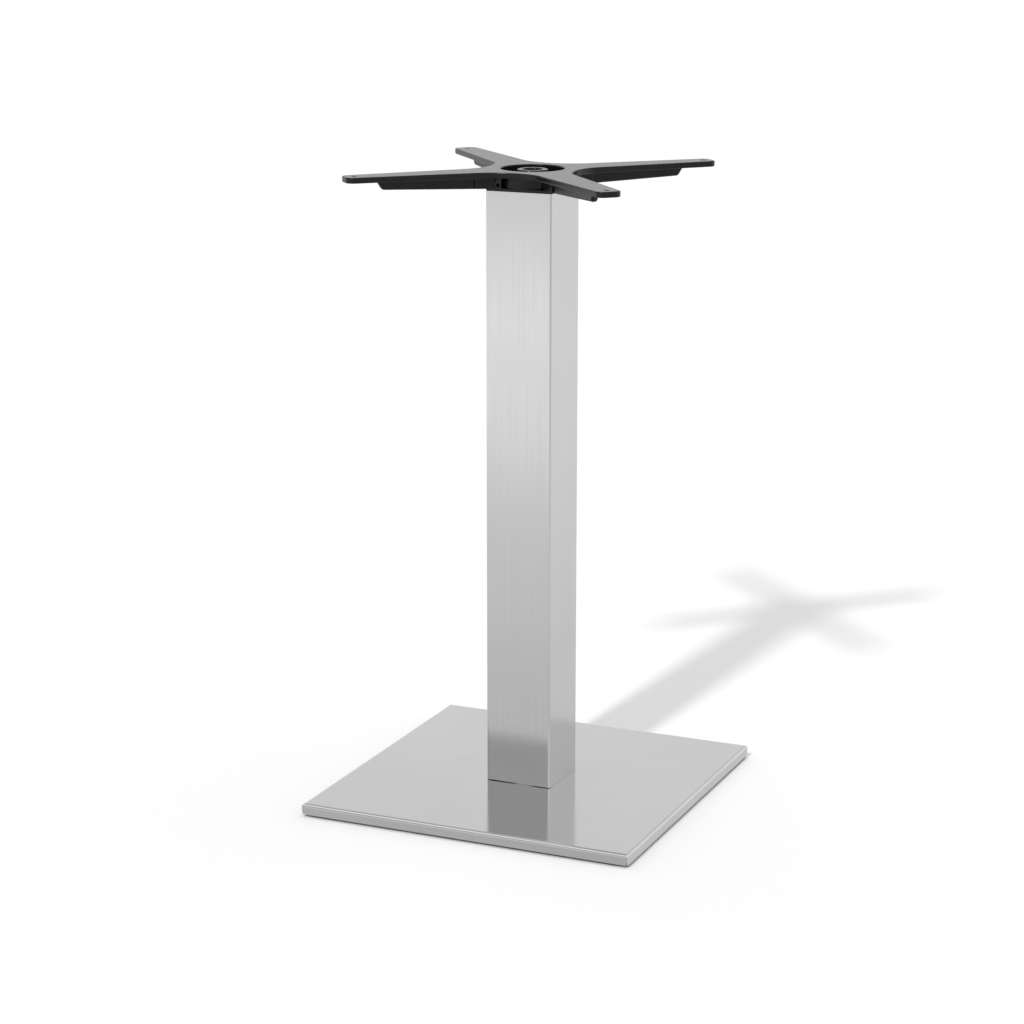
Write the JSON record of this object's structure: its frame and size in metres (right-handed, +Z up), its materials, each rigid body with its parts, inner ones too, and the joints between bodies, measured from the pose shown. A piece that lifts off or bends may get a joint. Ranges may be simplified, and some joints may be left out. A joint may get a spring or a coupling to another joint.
{
  "type": "table pedestal base",
  "caption": "Square pedestal table base: brushed steel foot plate and square column under a black ribbed spider bracket.",
  "frame": {"origin": "on the floor under the column's centre line, with the feet screwed in", "axes": "+Z up along the column; the column's sides face X and Y, the bracket's arms run along the diagonals; -Y is the wide side in the picture"},
  "size_m": [0.4, 0.4, 0.73],
  "materials": {
    "brushed_stainless": "brushed",
    "black_casting": "black powder coat",
    "black_steel": "black paint",
    "zinc_plated": "zinc plated",
    "foot_plastic": "moulded"
  },
  "bodies": {
    "base": {"base_cover": "brushed_stainless", "column_tube": "brushed_stainless", "ballast_plate": "black_steel", "column_locator": "black_steel", "spider_bracket": "black_casting", "tie_rod": "zinc_plated", "lock_washer": "zinc_plated", "lock_nut": "zinc_plated", "top_washer": "zinc_plated", "top_nut": "zinc_plated", "locator_screw_1": "zinc_plated", "locator_screw_2": "zinc_plated", "locator_screw_3": "zinc_plated", "locator_screw_4": "zinc_plated"},
    "foot_front_left": {"foot_pad_front_left": "foot_plastic", "foot_stud_front_left": "zinc_plated"},
    "foot_front_right": {"foot_pad_front_right": "foot_plastic", "foot_stud_front_right": "zinc_plated"},
    "foot_back_left": {"foot_pad_back_left": "foot_plastic", "foot_stud_back_left": "zinc_plated"},
    "foot_back_right": {"foot_pad_back_right": "foot_plastic", "foot_stud_back_right": "zinc_plated"}
  },
  "joints": [
    {"name": "level_front_left", "type": "slide", "parent": "base", "child": "foot_front_left", "axis": [0, 0, -1], "range_m": [0, 0.004]},
    {"name": "level_front_right", "type": "slide", "parent": "base", "child": "foot_front_right", "axis": [0, 0, -1], "range_m": [0, 0.004]},
    {"name": "level_back_left", "type": "slide", "parent": "base", "child": "foot_back_left", "axis": [0, 0, -1], "range_m": [0, 0.004]},
    {"name": "level_back_right", "type": "slide", "parent": "base", "child": "foot_back_right", "axis": [0, 0, -1], "range_m": [0, 0.004]}
  ]
}
